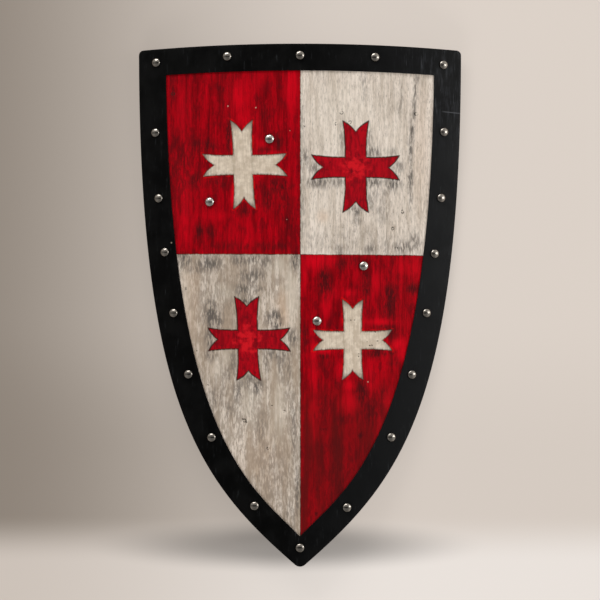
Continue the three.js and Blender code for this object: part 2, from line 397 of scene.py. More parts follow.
bpy.ops.object.select_all(action="DESELECT")
bpy.ops.mesh.primitive_cube_add(size=1, location=(0, HEIGHT / 2, -BOARD_THICKNESS / 2))
board = bpy.context.object
board.name = "painted_board"
board.scale = (BLANK_WIDTH, HEIGHT + BLANK_SPARE, BOARD_THICKNESS)
bpy.ops.object.transform_apply(location=True, rotation=True, scale=True)
edit(board)
for side, cuts in ((1, FACE_CUTS), (-1, BACK_CUTS)):
    pick(board, lambda face, middle: face.normal.z * side > FACING)
    for number in cuts:
        bpy.ops.mesh.subdivide(number_cuts=number)
finish_edit()
cutter = outline_prism("board_cutter", board_outline, -BOARD_THICKNESS - CUTTER_SPARE, BOARD_THICKNESS)
edit(cutter)
pick(cutter, lambda edge, middle: middle.z < -BOARD_THICKNESS, "edges")
bpy.ops.mesh.bevel(offset=EDGE_SLOPE + CUTTER_SPARE, segments=1, affect="EDGES")
finish_edit()
apply_modifier(board, "BOOLEAN", operation="INTERSECT", object=cutter, solver="EXACT")
bpy.data.objects.remove(cutter)

# The wood's relief: raised grain all over, and the dents of use on the face.
GRAIN_DEPTH = 0.16
BROAD_GRAIN, FINE_GRAIN = (5.0, 160), (1.9, 70)  # across and along
NEARLY = 0.01  # allowance when heights are compared
DENTS = [  # x, y, radius, depth
    (-183.5, 681, 3.2, 0.7), (59.7, 651, 3.6, 0.6), (51.8, 635, 3.4, 0.5), (72, 637.7, 2.6, 0.4),
    (147.4, 509.6, 3.6, 0.8), (133.4, 485, 2.8, 0.5), (138.7, 457, 3.2, 0.5), (167.6, 651, 3.0, 0.4),
    (-164.9, 399, 2.4, 0.5), (-22.9, 222.5, 2.8, 0.6), (-79.7, 209, 4.0, 0.5), (-45.8, 169.4, 2.8, 0.5),
    (34.2, 196.3, 3.4, 0.8), (87.5, 187.6, 3.4, 0.8), (-40.4, 231, 2.2, 0.4), (23, 75.3, 2.6, 0.5),
]


def grain_height(x, y):
    broad = noise.noise(Vector((x / BROAD_GRAIN[0], y / BROAD_GRAIN[1], 3.1)))
    fine = noise.noise(Vector((x / FINE_GRAIN[0], y / FINE_GRAIN[1], 7.7)))
    return GRAIN_DEPTH * (0.6 * broad + 0.4 * fine - 0.5)


def dent_depth(x, y):
    """How deep the dents are at a place. Each is a soft hollow that ends at twice its radius."""
    total = 0
    for dent_x, dent_y, radius, depth in DENTS:
        away = math.hypot(x - dent_x, y - dent_y) / radius
        if away < 2:
            total += depth * math.exp(-1.5 * away**2)
    return total


for vertex in board.data.vertices:
    x, y, h = vertex.co
    if h > -NEARLY:
        vertex.co.z += grain_height(x, y) - dent_depth(x, y)
    elif h < NEARLY - BOARD_THICKNESS:
        vertex.co.z -= grain_height(x, y) + GRAIN_DEPTH


# Wear on the face, in plan millimetres: x, y, half-width, half-height, strength. Grime is the dark
# smear rubbed into the paint, fresh is where the paint stays brightest, and warm is where old varnish shows.
GRIME = [
    # red quarter, upper left
    (-102.5, 617, 4, 28, 0.95), (-131, 604, 12, 10, 0.7), (-149, 605, 14, 16, 0.5), (-152, 556, 12, 15, 0.7),
    (-161, 583, 10, 24, 0.4), (-30.5, 611, 5, 17, 0.8), (-50.5, 597, 14, 7, 0.5), (-33, 544, 24, 12, 0.75),
    (-47, 528, 14, 20, 0.6), (-25, 528, 10, 22, 0.5), (-80, 509, 12, 9, 0.65), (-145, 481, 7, 15, 0.8),
    (-128, 481, 9, 9, 0.6), (-117, 551, 18, 10, 0.55), (-184, 686, 4, 22, 0.45), (-49, 646, 9, 16, 0.4),
    (-60, 459, 70, 6, 0.5), (-172, 570, 26, 60, 0.55), (-15, 500, 14, 50, 0.35), (-110, 690, 12, 40, 0.25),
    # white quarter, upper right
    (166, 684, 2.6, 32, 0.75), (169.5, 702.5, 5, 5, 0.5), (165, 658, 3, 22, 0.7), (162, 626, 3.4, 22, 0.85),
    (159.7, 596, 3.6, 28, 0.75), (159.4, 561, 4.2, 26, 0.8), (159.7, 530, 3, 18, 0.55),
    (145.5, 672, 3, 24, 0.4),
    (143, 656, 3, 7, 0.5), (92, 696, 5, 17, 0.4), (93, 677, 5, 12, 0.35), (105, 595, 13, 8, 0.8),
    (100, 611, 5, 18, 0.45), (131.6, 596.5, 9, 6, 0.45), (142, 573.6, 10, 8, 0.6), (133.4, 551, 13, 12, 0.85),
    (105, 551, 15, 10, 0.75), (102, 526, 7, 20, 0.5), (116, 537, 14, 10, 0.4), (5.3, 586, 10, 13, 0.65),
    (20, 570, 9, 11, 0.6), (26, 551, 20, 8, 0.8), (56, 551, 14, 7, 0.65), (59.7, 614, 5, 22, 0.45),
    (80.7, 510.5, 9, 9, 0.75), (82.5, 496, 7, 8, 0.5), (119, 512, 12, 24, 0.35), (151, 458, 20, 11, 0.65),
    (102, 456, 10, 9, 0.6), (56, 454, 7, 10, 0.55), (124.6, 459.6, 6, 13, 0.5), (165, 467, 10, 15, 0.6),
    (3.5, 631, 4, 42, 0.35), (3.5, 526, 4, 60, 0.4), (80, 465, 90, 18, 0.2),
    # white quarter, lower left
    (-168, 440, 12, 12, 0.85), (-131, 435, 22, 12, 0.75), (-149, 426, 20, 7, 0.5), (-86, 440, 14, 10, 0.7),
    (-65, 440, 14, 8, 0.7), (-49, 437, 12, 12, 0.6), (-7, 438, 7, 14, 0.85), (-68, 417, 20, 12, 0.7),
    (-81, 398, 14, 12, 0.7), (-61, 398, 12, 8, 0.5), (-128, 360, 11, 27, 0.9), (-117, 353, 8, 16, 0.7),
    (-131, 374, 8, 14, 0.5), (-37, 356, 13, 13, 0.95), (-31.5, 346, 8, 8, 0.9), (-10.7, 328, 9, 13, 0.7),
    (-131, 325, 7, 15, 0.8), (-128, 304, 9, 12, 0.6), (-77, 381, 10, 8, 0.8), (-33.5, 304, 20, 8, 0.65),
    (-47, 298, 6, 22, 0.45), (-26.5, 293, 7, 24, 0.5), (-96.5, 293, 6, 20, 0.55), (-103, 276, 8, 13, 0.45),
    (-72.7, 270.5, 10, 7, 0.7), (-61.4, 258, 9, 12, 0.85), (-89.4, 251, 8, 18, 0.6), (-79, 260, 12, 8, 0.55),
    (-122.6, 241, 12, 17, 0.45), (-101.6, 225, 10, 13, 0.4), (-16, 293, 4, 52, 0.4), (-9, 197, 5, 52, 0.5),
    (-56, 197, 8, 32, 0.4), (-100, 380, 60, 50, 0.22), (-95, 245, 45, 40, 0.2), (-40, 130, 35, 60, 0.3),
    (-4, 108, 3.5, 40, 0.75), (-14, 75, 12, 22, 0.4),
    # red quarter, lower right
    (35, 408, 10, 26, 0.9), (42, 398, 6, 15, 0.6), (94.5, 408, 8, 20, 0.6), (96, 397, 8, 11, 0.7),
    (58, 434, 12, 8, 0.6), (79, 437.5, 11, 7, 0.5), (129.5, 382, 11, 24, 0.9), (126, 369, 10, 12, 0.6),
    (131, 401, 8, 10, 0.5), (164.5, 399, 10, 8, 0.8), (94.5, 373, 4, 17, 0.75), (119, 343, 16, 4, 0.7),
    (135, 333, 6, 10, 0.7), (112, 306.5, 17, 7, 0.95), (131, 306.5, 8, 5, 0.7), (34, 301, 9, 4.5, 0.9),
    (7, 329, 5, 22, 0.6), (31.5, 290, 18, 11, 0.45), (89, 250.5, 10, 19, 0.9), (58, 263, 8, 8, 0.5),
    (117, 250.5, 10, 11, 0.45), (35, 232, 12, 32, 0.45), (63, 212, 18, 7, 0.5), (101.5, 224, 20, 24, 0.55),
    (34, 196.3, 5, 2.5, 1.0), (87.5, 187.6, 4, 4, 1.0), (136.5, 294, 10, 8, 0.5), (60, 120, 40, 60, 0.35),
    (23, 75.3, 3, 2.5, 0.9), (50, 165, 30, 30, 0.3),
]
FRESH = [
    (-12, 693, 10, 48, 0.9), (-87, 674, 14, 24, 0.8), (-80, 644, 12, 14, 0.6), (-166, 518, 12, 62, 0.7),
    (-170, 658, 10, 42, 0.5), (-56, 605, 12, 8, 0.7), (-96, 530, 4, 17, 1.0), (-99, 620, 2.6, 20, 0.9),
    (-43.5, 593.3, 20, 2.6, 0.9), (-86, 474, 22, 24, 0.5), (-122, 504, 30, 8, 0.4), (-60, 700, 16, 20, 0.4),
    (60, 640, 60, 60, 0.5), (135, 600, 14, 60, 0.3), (30, 510, 22, 30, 0.3),
    (-12.4, 389, 10, 52, 0.9), (-33, 430, 14, 14, 0.7), (-107, 391, 22, 12, 0.5), (-73.5, 240, 11, 32, 0.6),
    (-31.5, 223, 9, 42, 0.7), (-105, 300, 7, 11, 0.7), (-119, 284, 8, 18, 0.6), (-165, 390, 10, 50, 0.4),
    (26, 437.5, 24, 13, 1.0), (72, 392, 10, 6, 0.9), (75, 384, 5, 8, 0.8), (48, 390, 10, 11, 0.4),
    (115.5, 350.3, 24, 5, 0.8), (142, 319, 12, 9, 1.0), (147, 306, 8, 13, 0.8), (35, 308.3, 13, 4, 1.0),
    (19.3, 277, 6, 42, 0.8), (19.3, 215, 7, 42, 0.7), (70, 259.3, 10, 8, 1.0), (72, 235, 15, 15, 0.9),
    (99.8, 277, 7, 19, 0.7), (99.8, 259, 7, 8, 0.8), (56, 280, 5, 15, 0.6), (7, 422, 4, 32, 0.6),
    (126, 221, 8, 32, 0.7), (117, 198, 6, 22, 0.7), (38.6, 374.7, 7, 19, 0.7), (110, 408, 9, 18, 0.6),
    (160, 430, 20, 12, 0.4),
]
WARM = [
    (-22.9, 360, 9, 21, 0.9), (-24.7, 378, 12, 17, 0.6), (-160, 380, 14, 62, 0.45), (32.5, 501.7, 9, 9, 0.7),
    (175, 600, 14, 90, 0.3), (-50, 150, 30, 50, 0.3), (-70, 345, 60, 30, 0.15),
]


WEAR_EDGE = 1.3  # how sharply a mark ends: 1 fades softly from its middle, more is fuller and ends sooner


def wear(marks, x, y):
    """How strongly a set of marks covers each place, from 0 to 1."""
    cover = np.zeros(len(x))
    for mark_x, mark_y, half_width, half_height, strength in marks:
        away = ((x - mark_x) / half_width) ** 2 + ((y - mark_y) / half_height) ** 2
        cover = np.maximum(cover, strength * np.exp(-(away**WEAR_EDGE)))
    return cover


flat = np.empty(len(board.data.vertices) * 3)
board.data.vertices.foreach_get("co", flat)
flat_x, flat_y = flat.reshape(-1, 3).T[:2]
for name, marks in (("grime", GRIME), ("fresh", FRESH), ("warm", WARM)):
    layer = board.data.attributes.new(name, "FLOAT", "POINT")
    layer.data.foreach_set("value", wear(marks, flat_x, flat_y).astype(np.float32))

# The board's own map: the painted face takes most of it, and the back and the edge, in rows, share the rest.
MAP_MARGIN = 0.005
MAP_HALF_WIDTH = 235
FACE_SCALE, BACK_SCALE = 1 / 765, 1 / 1300
EDGE_SCALE, EDGE_HEIGHT_SCALE = 0.0008, 0.0021
BACK_U, EDGE_U, EDGE_V = 0.63, 0.64, 0.62
EDGE_ROW, EDGE_ROW_LENGTH = 0.03, 400
EDGE_CENTRE = Vector((0, 380))  # the edge's faces are unrolled round this place
FACE, BACK, EDGE = 0, 1, 2

outline_points = np.array(board_outline)
outline_reach = np.concatenate([[0], np.cumsum(np.linalg.norm(np.diff(outline_points, axis=0), axis=1))])
bake_map = board.data.uv_layers.new(name="OFBake")
for polygon in board.data.polygons:
    middle = polygon.center
    if polygon.normal.z > FACING and middle.z > -1:
        polygon.material_index = FACE
    elif polygon.normal.z < -FACING:
        polygon.material_index = BACK
    else:
        polygon.material_index = EDGE
        reach = outline_reach[np.argmin(np.hypot(*(outline_points - middle[:2]).T))]
        row = int(reach // EDGE_ROW_LENGTH)
        out_from_centre = middle.xy - EDGE_CENTRE
        along_edge = Vector((-out_from_centre.y, out_from_centre.x)).normalized()
    for loop in polygon.loop_indices:
        x, y, h = board.data.vertices[board.data.loops[loop].vertex_index].co
        if polygon.material_index == FACE:
            place = (MAP_MARGIN + (x + MAP_HALF_WIDTH) * FACE_SCALE, MAP_MARGIN + y * FACE_SCALE)
        elif polygon.material_index == BACK:
            place = (BACK_U + (x + MAP_HALF_WIDTH) * BACK_SCALE, MAP_MARGIN + y * BACK_SCALE)
        else:
            on_row = reach - row * EDGE_ROW_LENGTH + (Vector((x, y)) - middle.xy).dot(along_edge)
            on_height = (h + BOARD_THICKNESS) * EDGE_HEIGHT_SCALE
            place = (EDGE_U + on_row * EDGE_SCALE, EDGE_V + row * EDGE_ROW + on_height)
        bake_map.data[loop].uv = place

lay_on_face(board)
select_only(board)
bpy.ops.object.shade_smooth_by_angle(angle=math.radians(40))


def new_group(name, inputs, outputs):
    """A node group that takes a place and the named numbers, and puts out the named numbers."""
    group = bpy.data.node_groups.new(name, "ShaderNodeTree")
    group.interface.new_socket("Place", in_out="INPUT", socket_type="NodeSocketVector")
    for socket in inputs:
        group.interface.new_socket(socket, in_out="INPUT", socket_type="NodeSocketFloat")
    for socket in outputs:
        group.interface.new_socket(socket, in_out="OUTPUT", socket_type="NodeSocketFloat")
    return group, group.nodes.new("NodeGroupInput").outputs, group.nodes.new("NodeGroupOutput").inputs


def use(tree, group, **values):
    """Places a group and gives its inputs their values. Returns its outputs."""
    node = add(tree, "ShaderNodeGroup", node_tree=group)
    for name, value in values.items():
        feed(tree, node.inputs[name.replace("_", " ")], value)
    return node.outputs


# Marks as brush hairs, wood grain and rubbed dirt leave them, of a size across and along in millimetres.
streaks, given, result = new_group("streaks", ["Across", "Along", "Seed"], ["Value"])
size = add(streaks, "ShaderNodeCombineXYZ")
for axis, extent in (("X", "Across"), ("Y", "Along"), ("Z", "Across")):
    feed(streaks, size.inputs[axis], given[extent])
shrunk = add(streaks, "ShaderNodeVectorMath", operation="DIVIDE")
feed(streaks, shrunk.inputs[0], given["Place"])
feed(streaks, shrunk.inputs[1], size.outputs[0])
grainy = add(streaks, "ShaderNodeTexNoise", noise_dimensions="4D")
feed(streaks, grainy.inputs["Vector"], shrunk.outputs[0])
feed(streaks, grainy.inputs["W"], given["Seed"])
feed(streaks, grainy.inputs["Scale"], 1.0)
feed(streaks, grainy.inputs["Detail"], 3.0)
feed(streaks, grainy.inputs["Roughness"], 0.6)
feed(streaks, result["Value"], grainy.outputs["Fac"])

# One painted cross with forked ends. Depth is how far inside its edge a place is, in millimetres.
FLARE_START, FLARE_POWER = 0.45, 1.6
FORK_BULGE = 0.45
END_SLANT = 0.72  # a fork's slanting edge lies nearer than it is along the bar
cross, given, result = new_group(
    "cross",
    ["Centre X", "Centre Y", "Upright", "Beam", "Lean", "Fork", "Flare", "Up", "Down", "Left", "Right"],
    ["Depth", "Away", "Tip", "Upright Side"],
)
place = parts_of(cross, given["Place"])
v = calc(cross, "SUBTRACT", place["Y"], given["Centre Y"])
u = calc(cross, "SUBTRACT", place["X"], given["Centre X"])
u = calc(cross, "MULTIPLY_ADD", v, given["Lean"], u)


def arm(along, across, half_width, reach_plus, reach_minus):
    """One bar of the cross: how deep inside it a place is, and how near its forked end."""
    positive = calc(cross, "GREATER_THAN", along, 0.0)
    spread = calc(cross, "SUBTRACT", reach_plus, reach_minus)
    reach = calc(cross, "MULTIPLY_ADD", positive, spread, reach_minus)
    out = calc(cross, "ABSOLUTE", along)
    share = calc(cross, "DIVIDE", out, reach)
    widening = calc(cross, "DIVIDE", calc(cross, "SUBTRACT", share, FLARE_START), 1 - FLARE_START, clamp=True)
    swell = calc(cross, "MULTIPLY", calc(cross, "POWER", widening, FLARE_POWER), given["Flare"])
    width = calc(cross, "MULTIPLY", half_width, calc(cross, "ADD", swell, 1.0))
    off = calc(cross, "ABSOLUTE", across)
    part = calc(cross, "MINIMUM", calc(cross, "DIVIDE", off, width), 1.0)
    steepness = calc(cross, "MULTIPLY_ADD", part, -FORK_BULGE, 1 + FORK_BULGE)
    fork_edge = calc(cross, "MULTIPLY", part, steepness)
    cut = calc(cross, "MULTIPLY", given["Fork"], calc(cross, "SUBTRACT", 1.0, fork_edge))
    end = calc(cross, "SUBTRACT", reach, cut)
    to_end = calc(cross, "MULTIPLY", calc(cross, "SUBTRACT", end, out), END_SLANT)
    to_side = calc(cross, "SUBTRACT", width, off)
    return calc(cross, "MINIMUM", to_end, to_side), share


upright, upright_share = arm(v, u, given["Upright"], given["Up"], given["Down"])
beam, beam_share = arm(u, v, given["Beam"], given["Right"], given["Left"])
feed(cross, result["Depth"], calc(cross, "MAXIMUM", upright, beam))
feed(cross, result["Tip"], calc(cross, "MAXIMUM", upright_share, beam_share))
away_squared = calc(cross, "MULTIPLY_ADD", u, u, calc(cross, "MULTIPLY", v, v))
feed(cross, result["Away"], calc(cross, "SQRT", away_squared))
feed(cross, result["Upright Side"], calc(cross, "SUBTRACT", given["Upright"], calc(cross, "ABSOLUTE", u)))

# A small nail scar: a dark ring, and the spot inside it. The sizes are shares of its radius.
RING_SHARE = 0.8
RING_SOFT = (0.35, 0.1)
SPOT_SOFT = (0.6, 0.2)
scar, given, result = new_group("scar", ["X", "Y", "Radius"], ["Ring", "Middle"])
place = parts_of(scar, given["Place"])
dx = calc(scar, "SUBTRACT", place["X"], given["X"])
dy = calc(scar, "SUBTRACT", place["Y"], given["Y"])
off_squared = calc(scar, "MULTIPLY_ADD", dx, dx, calc(scar, "MULTIPLY", dy, dy))
off = calc(scar, "DIVIDE", calc(scar, "SQRT", off_squared), given["Radius"])
from_ring = calc(scar, "ABSOLUTE", calc(scar, "SUBTRACT", off, RING_SHARE))
feed(scar, result["Ring"], ramp(scar, from_ring, *RING_SOFT))
feed(scar, result["Middle"], ramp(scar, off, *SPOT_SOFT))

# The painted face: red and white quarters, each with a forked cross in the other colour.
QUARTER_X, QUARTER_Y, QUARTER_SLOPE = 0.5, 447.5, -0.0053
CROSSES = [
    dict(Centre_X=-81.9, Centre_Y=576.2, Upright=13.8, Beam=14.1, Lean=0.035, Fork=16.0, Flare=0.16,
         Up=64, Down=63, Left=58, Right=63),
    dict(Centre_X=80.0, Centre_Y=572.7, Upright=15.1, Beam=14.3, Lean=0.0, Fork=15.2, Flare=0.21,
         Up=66, Down=64, Left=62.5, Right=62.5),
    dict(Centre_X=-75.1, Centre_Y=325.4, Upright=14.2, Beam=13.5, Lean=0.025, Fork=13.5, Flare=0.21,
         Up=61, Down=58, Left=56.5, Right=60),
    dict(Centre_X=75.7, Centre_Y=324.4, Upright=13.0, Beam=12.9, Lean=0.0, Fork=13.5, Flare=0.16,
         Up=58.5, Down=56.5, Left=56.5, Right=56.5),
]
FAR_AWAY = 999.0
WOBBLE = 2.2  # how far a painted edge strays, in millimetres
CROSS_WOBBLE = 0.45  # the share of it that the crosses' edges stray
EDGE_BLUR = 0.5
BRIGHT_CENTRE, CENTRE_UNEVEN = 22.0, 90.0
# Scars, dark specks and pale chips in the paint, in plan millimetres: x, y, radius.
SCARS = [(-183.5, 681, 2.6), (59.7, 651, 2.6), (51.8, 635, 2.4), (72, 637.7, 2.2), (147.4, 509.6, 2.8),
         (133.4, 485, 2.4), (138.7, 457, 2.0), (167.6, 651, 2.6), (-22.9, 222.5, 2.4), (-45.8, 169.4, 2.2),
         (-79.7, 209, 3.0), (-164.9, 399, 1.6)]
SPECKS = [(72.7, 353.4, 1.1), (78.3, 353.4, 1.0), (108.5, 336.3, 1.1), (111.7, 323.5, 1.2), (100.1, 317, 1.2),
          (103.6, 317, 1.5), (95.9, 322.3, 0.8), (84, 301.3, 1.0), (84.4, 305, 1.0), (-40.4, 231, 1.4),
          (-82.5, 211.5, 1.3), (-76.5, 206.5, 1.3), (-148.8, 309, 1.2), (-132.2, 260, 1.3), (6.2, 631, 1.6)]
CHIPS = [(-103.6, 660.9, 1.2), (-63.4, 658.3, 1.2), (-14.6, 625, 0.7), (-19, 497.7, 0.7), (97.7, 264.5, 1.2)]
SHAKE = (3.4, 2.4, 0.0)  # how far a scar's outline is shaken out of round
SPOT_TO_SCAR = 2  # a spot is the middle of a scar this much wider


def plan_place(tree):
    """Plan millimetres of a piece that lies in its place."""
    mapping = add(tree, "ShaderNodeMapping", vector_type="TEXTURE")
    feed(tree, mapping.inputs["Vector"], add(tree, "ShaderNodeTexCoord").outputs["Object"])
    mapping.inputs["Location"].default_value = plan_origin
    mapping.inputs["Rotation"].default_value = (tilt, 0, 0)
    mapping.inputs["Scale"].default_value = (MM, MM, MM)
    return mapping.outputs[0]


def attribute(tree, name):
    return add(tree, "ShaderNodeAttribute", attribute_name=name).outputs["Fac"]


def grain(tree, place, across, along, seed):
    return use(tree, streaks, Place=place, Across=across, Along=along, Seed=seed)["Value"]


def both(tree, first, second, first_share):
    """The sum of two marks, the first one at a share of its strength."""
    return calc(tree, "MULTIPLY_ADD", first, first_share, second)


def layered(tree, mark, low, high, from_tone, to_tone, layers=()):
    """A colour that goes from one tone to another as a mark passes from low to high, and layers over it.
    A layer is a mark, the values that it shows from and shows fully at, its strength and its tone."""
    paint = mix(tree, ramp(tree, mark, low, high), colour(*from_tone), colour(*to_tone))
    for mark, low, high, strength, tone in layers:
        paint = lay_over(tree, paint, ramp(tree, mark, low, high), strength, tone)
    return paint


def emboss(tree, shader, height, strength, depth):
    """Gives a surface fine relief. The depth is in millimetres."""
    bump = add(tree, "ShaderNodeBump")
    bump.inputs["Strength"].default_value = strength
    bump.inputs["Distance"].default_value = depth * MM
    feed(tree, bump.inputs["Height"], height)
    feed(tree, shader.inputs["Normal"], bump.outputs[0])


painted, tree, shader = new_material("quartered_paint", Specular_IOR_Level=0.05)
place = plan_place(tree)
xyz = parts_of(tree, place)
# marks of the brush and of use: millimetres across, millimetres along, seed
broad = grain(tree, place, 15, 130, 1)
brush = grain(tree, place, 4.5, 58, 2)
fine = grain(tree, place, 1.6, 26, 3)
cloud = grain(tree, place, 26, 45, 4)
hair = grain(tree, place, 0.9, 44, 5)
dab = grain(tree, place, 3.2, 12, 6)
tick = grain(tree, place, 1.5, 7, 8)
swirl = grain(tree, place, 9, 9, 9)
patch = grain(tree, place, 10, 26, 10)
crisp = grain(tree, place, 2.4, 9, 11)
stray = grain(tree, place, 9, 9, 7)
wobble = calc(tree, "MULTIPLY", calc(tree, "SUBTRACT", stray, 0.5), WOBBLE)
strokes = both(tree, broad, both(tree, brush, calc(tree, "MULTIPLY", fine, 0.25), 0.35), 0.4)

# quarters
right = calc(tree, "ADD", calc(tree, "SUBTRACT", xyz["X"], QUARTER_X), wobble)
over = calc(tree, "SUBTRACT", xyz["Y"], calc(tree, "MULTIPLY_ADD", xyz["X"], QUARTER_SLOPE, QUARTER_Y))
over = calc(tree, "ADD", over, wobble)
is_right = ramp(tree, right, -EDGE_BLUR, EDGE_BLUR)
is_over = ramp(tree, over, -EDGE_BLUR, EDGE_BLUR)
red_here = calc(tree, "ABSOLUTE", calc(tree, "SUBTRACT", is_right, is_over))
is_lower_left = calc(tree, "SUBTRACT", 1.0, calc(tree, "MAXIMUM", is_right, is_over))

# crosses
depth, nearest, tip, from_upright = -FAR_AWAY, FAR_AWAY, 0.0, 0.0
for numbers in CROSSES:
    found = use(tree, cross, Place=place, **numbers)
    inside = ramp(tree, found["Depth"], -1.0, 0.0)
    depth = calc(tree, "MAXIMUM", depth, found["Depth"])
    nearest = calc(tree, "MINIMUM", nearest, found["Away"])
    tip = calc(tree, "MAXIMUM", tip, calc(tree, "MULTIPLY", found["Tip"], inside))
    from_upright = calc(tree, "MULTIPLY_ADD", found["Upright Side"], inside, from_upright)
depth = calc(tree, "MULTIPLY_ADD", wobble, CROSS_WOBBLE, depth)
on_cross = ramp(tree, depth, -EDGE_BLUR, EDGE_BLUR)

# red paint, brightest where it is fresh and round the crosses, and duller low on the right
red = layered(tree, strokes, 0.38, 0.62, (103, 1, 8), (173, 1, 17), [
    (brush, 0.56, 0.72, 0.60, (186, 2, 23)),
    (hair, 0.58, 0.74, 0.35, (88, 3, 10)),
    (patch, 0.52, 0.62, 0.50, (80, 6, 14)),
    (patch, 0.46, 0.36, 0.45, (178, 2, 20)),
    (crisp, 0.52, 0.60, 0.28, (80, 5, 12)),
    (tick, 0.60, 0.72, 0.40, (84, 4, 10)),
    (tick, 0.40, 0.28, 0.35, (190, 6, 24)),
])
fresh = calc(tree, "MULTIPLY", attribute(tree, "fresh"), ramp(tree, brush, 0.30, 0.55, 0.35, 1.0))
red = lay_over(tree, red, fresh, 0.9, (208, 3, 25))
round_cross = calc(tree, "MULTIPLY", ramp(tree, depth, -3.6, -1.2), ramp(tree, swirl, 0.50, 0.58))
red = lay_over(tree, red, round_cross, 0.6, (222, 16, 16))
low_right = calc(tree, "MULTIPLY", is_right, ramp(tree, xyz["Y"], 300, 190))
red = lay_over(tree, red, low_right, ramp(tree, broad, 0.3, 0.6, 0.85, 0.45), (92, 17, 17))

# white paint, speckled and browner low on the left, and warm where old varnish shows
white = layered(tree, strokes, 0.39, 0.59, (191, 178, 163), (229, 218, 206), [
    (hair, 0.54, 0.70, 0.55, (132, 120, 108)),
    (fine, 0.56, 0.70, 0.50, (140, 129, 117)),
    (crisp, 0.51, 0.60, 0.34, (146, 134, 121)),
    (crisp, 0.44, 0.34, 0.40, (232, 223, 210)),
    (tick, 0.58, 0.66, 0.55, (116, 106, 96)),
])
speckle = calc(tree, "MULTIPLY", is_lower_left, ramp(tree, calc(tree, "ADD", crisp, patch), 0.90, 1.06))
white = lay_over(tree, white, speckle, 0.5, (126, 114, 101))
white = lay_over(tree, white, is_lower_left, ramp(tree, broad, 0.35, 0.62, 0.7, 0.2), (160, 142, 123))
white = lay_over(tree, white, attribute(tree, "warm"), 0.55, (207, 174, 145))
white = lay_over(tree, white, fresh, 0.6, (219, 210, 195))

# grime, broken up by short dabs
broken_up = ramp(tree, calc(tree, "ADD", dab, crisp), 0.82, 1.10, 0.30, 1.30)
rubbed = calc(tree, "MULTIPLY", attribute(tree, "grime"), broken_up, clamp=True)
scuffed = calc(tree, "MULTIPLY", ramp(tree, cloud, 0.52, 0.68), ramp(tree, dab, 0.40, 0.65))
red = lay_over(tree, red, scuffed, 0.45, (82, 8, 13))
red = lay_over(tree, red, rubbed, 0.85, (62, 14, 17))
white = lay_over(tree, white, scuffed, 0.3, (140, 131, 121))
white = lay_over(tree, white, rubbed, 0.9, (88, 83, 79))
field = mix(tree, red_here, white, red)

# the red crosses are brightest round their centres
cross_red = layered(tree, calc(tree, "ADD", dab, brush), 0.80, 1.18, (128, 8, 20), (170, 9, 24), [
    (swirl, 0.52, 0.66, 0.60, (98, 11, 19)),
    (tick, 0.58, 0.70, 0.30, (96, 10, 16)),
])
uneven_away = calc(tree, "MULTIPLY_ADD", calc(tree, "SUBTRACT", swirl, 0.5), CENTRE_UNEVEN, nearest)
cross_red = lay_over(tree, cross_red, ramp(tree, uneven_away, BRIGHT_CENTRE, 0.0), 0.85, (204, 24, 34))

# the white crosses are worn at their edges and tips, and their uprights were painted over their beams
mottle = both(tree, swirl, calc(tree, "MULTIPLY", fine, 0.4), 0.6)
cross_white = layered(tree, mottle, 0.38, 0.58, (217, 204, 186), (190, 175, 156), [
    (tick, 0.58, 0.70, 0.35, (156, 143, 126)),
])
worn_rim = calc(tree, "MULTIPLY", ramp(tree, depth, 3.2, 0.3), ramp(tree, tick, 0.40, 0.60, 0.0, 0.75))
worn_tip = ramp(tree, tip, 0.74, 1.0, 0.0, 0.85)
worn_tip = calc(tree, "MULTIPLY", worn_tip, ramp(tree, dab, 0.30, 0.56, 0.35, 1.0))
cross_white = mix(tree, calc(tree, "MAXIMUM", worn_rim, worn_tip), cross_white, colour(84, 80, 75))
over_beam = ramp(tree, calc(tree, "ABSOLUTE", from_upright), 4.0, 0.5)
over_beam = calc(tree, "MULTIPLY", over_beam, ramp(tree, dab, 0.35, 0.6, 0.08, 0.30))
cross_white = lay_over(tree, cross_white, over_beam, on_cross, (140, 126, 108))
paint = mix(tree, on_cross, field, mix(tree, red_here, cross_red, cross_white))

# thin dark lines round the crosses and between the quarters
line = ramp(tree, calc(tree, "ABSOLUTE", calc(tree, "ADD", depth, 0.1)), 1.5, 0.4)
line = calc(tree, "MULTIPLY", line, ramp(tree, red_here, 0.0, 1.0, 0.9, 0.5))
paint = lay_over(tree, paint, line, ramp(tree, dab, 0.34, 0.50, 0.55, 1.0), (44, 10, 11))
from_seam = calc(tree, "MINIMUM", calc(tree, "ABSOLUTE", right), calc(tree, "ABSOLUTE", over))
seam = ramp(tree, from_seam, 1.0, 0.2)
paint = lay_over(tree, paint, seam, ramp(tree, dab, 0.40, 0.56, 0.35, 0.85), (54, 16, 15))

# scars, specks and chips
ragged = add(tree, "ShaderNodeTexNoise")
feed(tree, ragged.inputs["Vector"], place)
feed(tree, ragged.inputs["Scale"], 0.35)
shaken = add(tree, "ShaderNodeVectorMath", operation="MULTIPLY_ADD")
feed(tree, shaken.inputs[0], ragged.outputs["Color"])
feed(tree, shaken.inputs[1], SHAKE)
feed(tree, shaken.inputs[2], place)


def shaken_scar(x, y, radius):
    """A scar that is shaken out of round and stays in its place."""
    return use(tree, scar, Place=shaken.outputs[0], X=x + SHAKE[0] / 2, Y=y + SHAKE[1] / 2, Radius=radius)


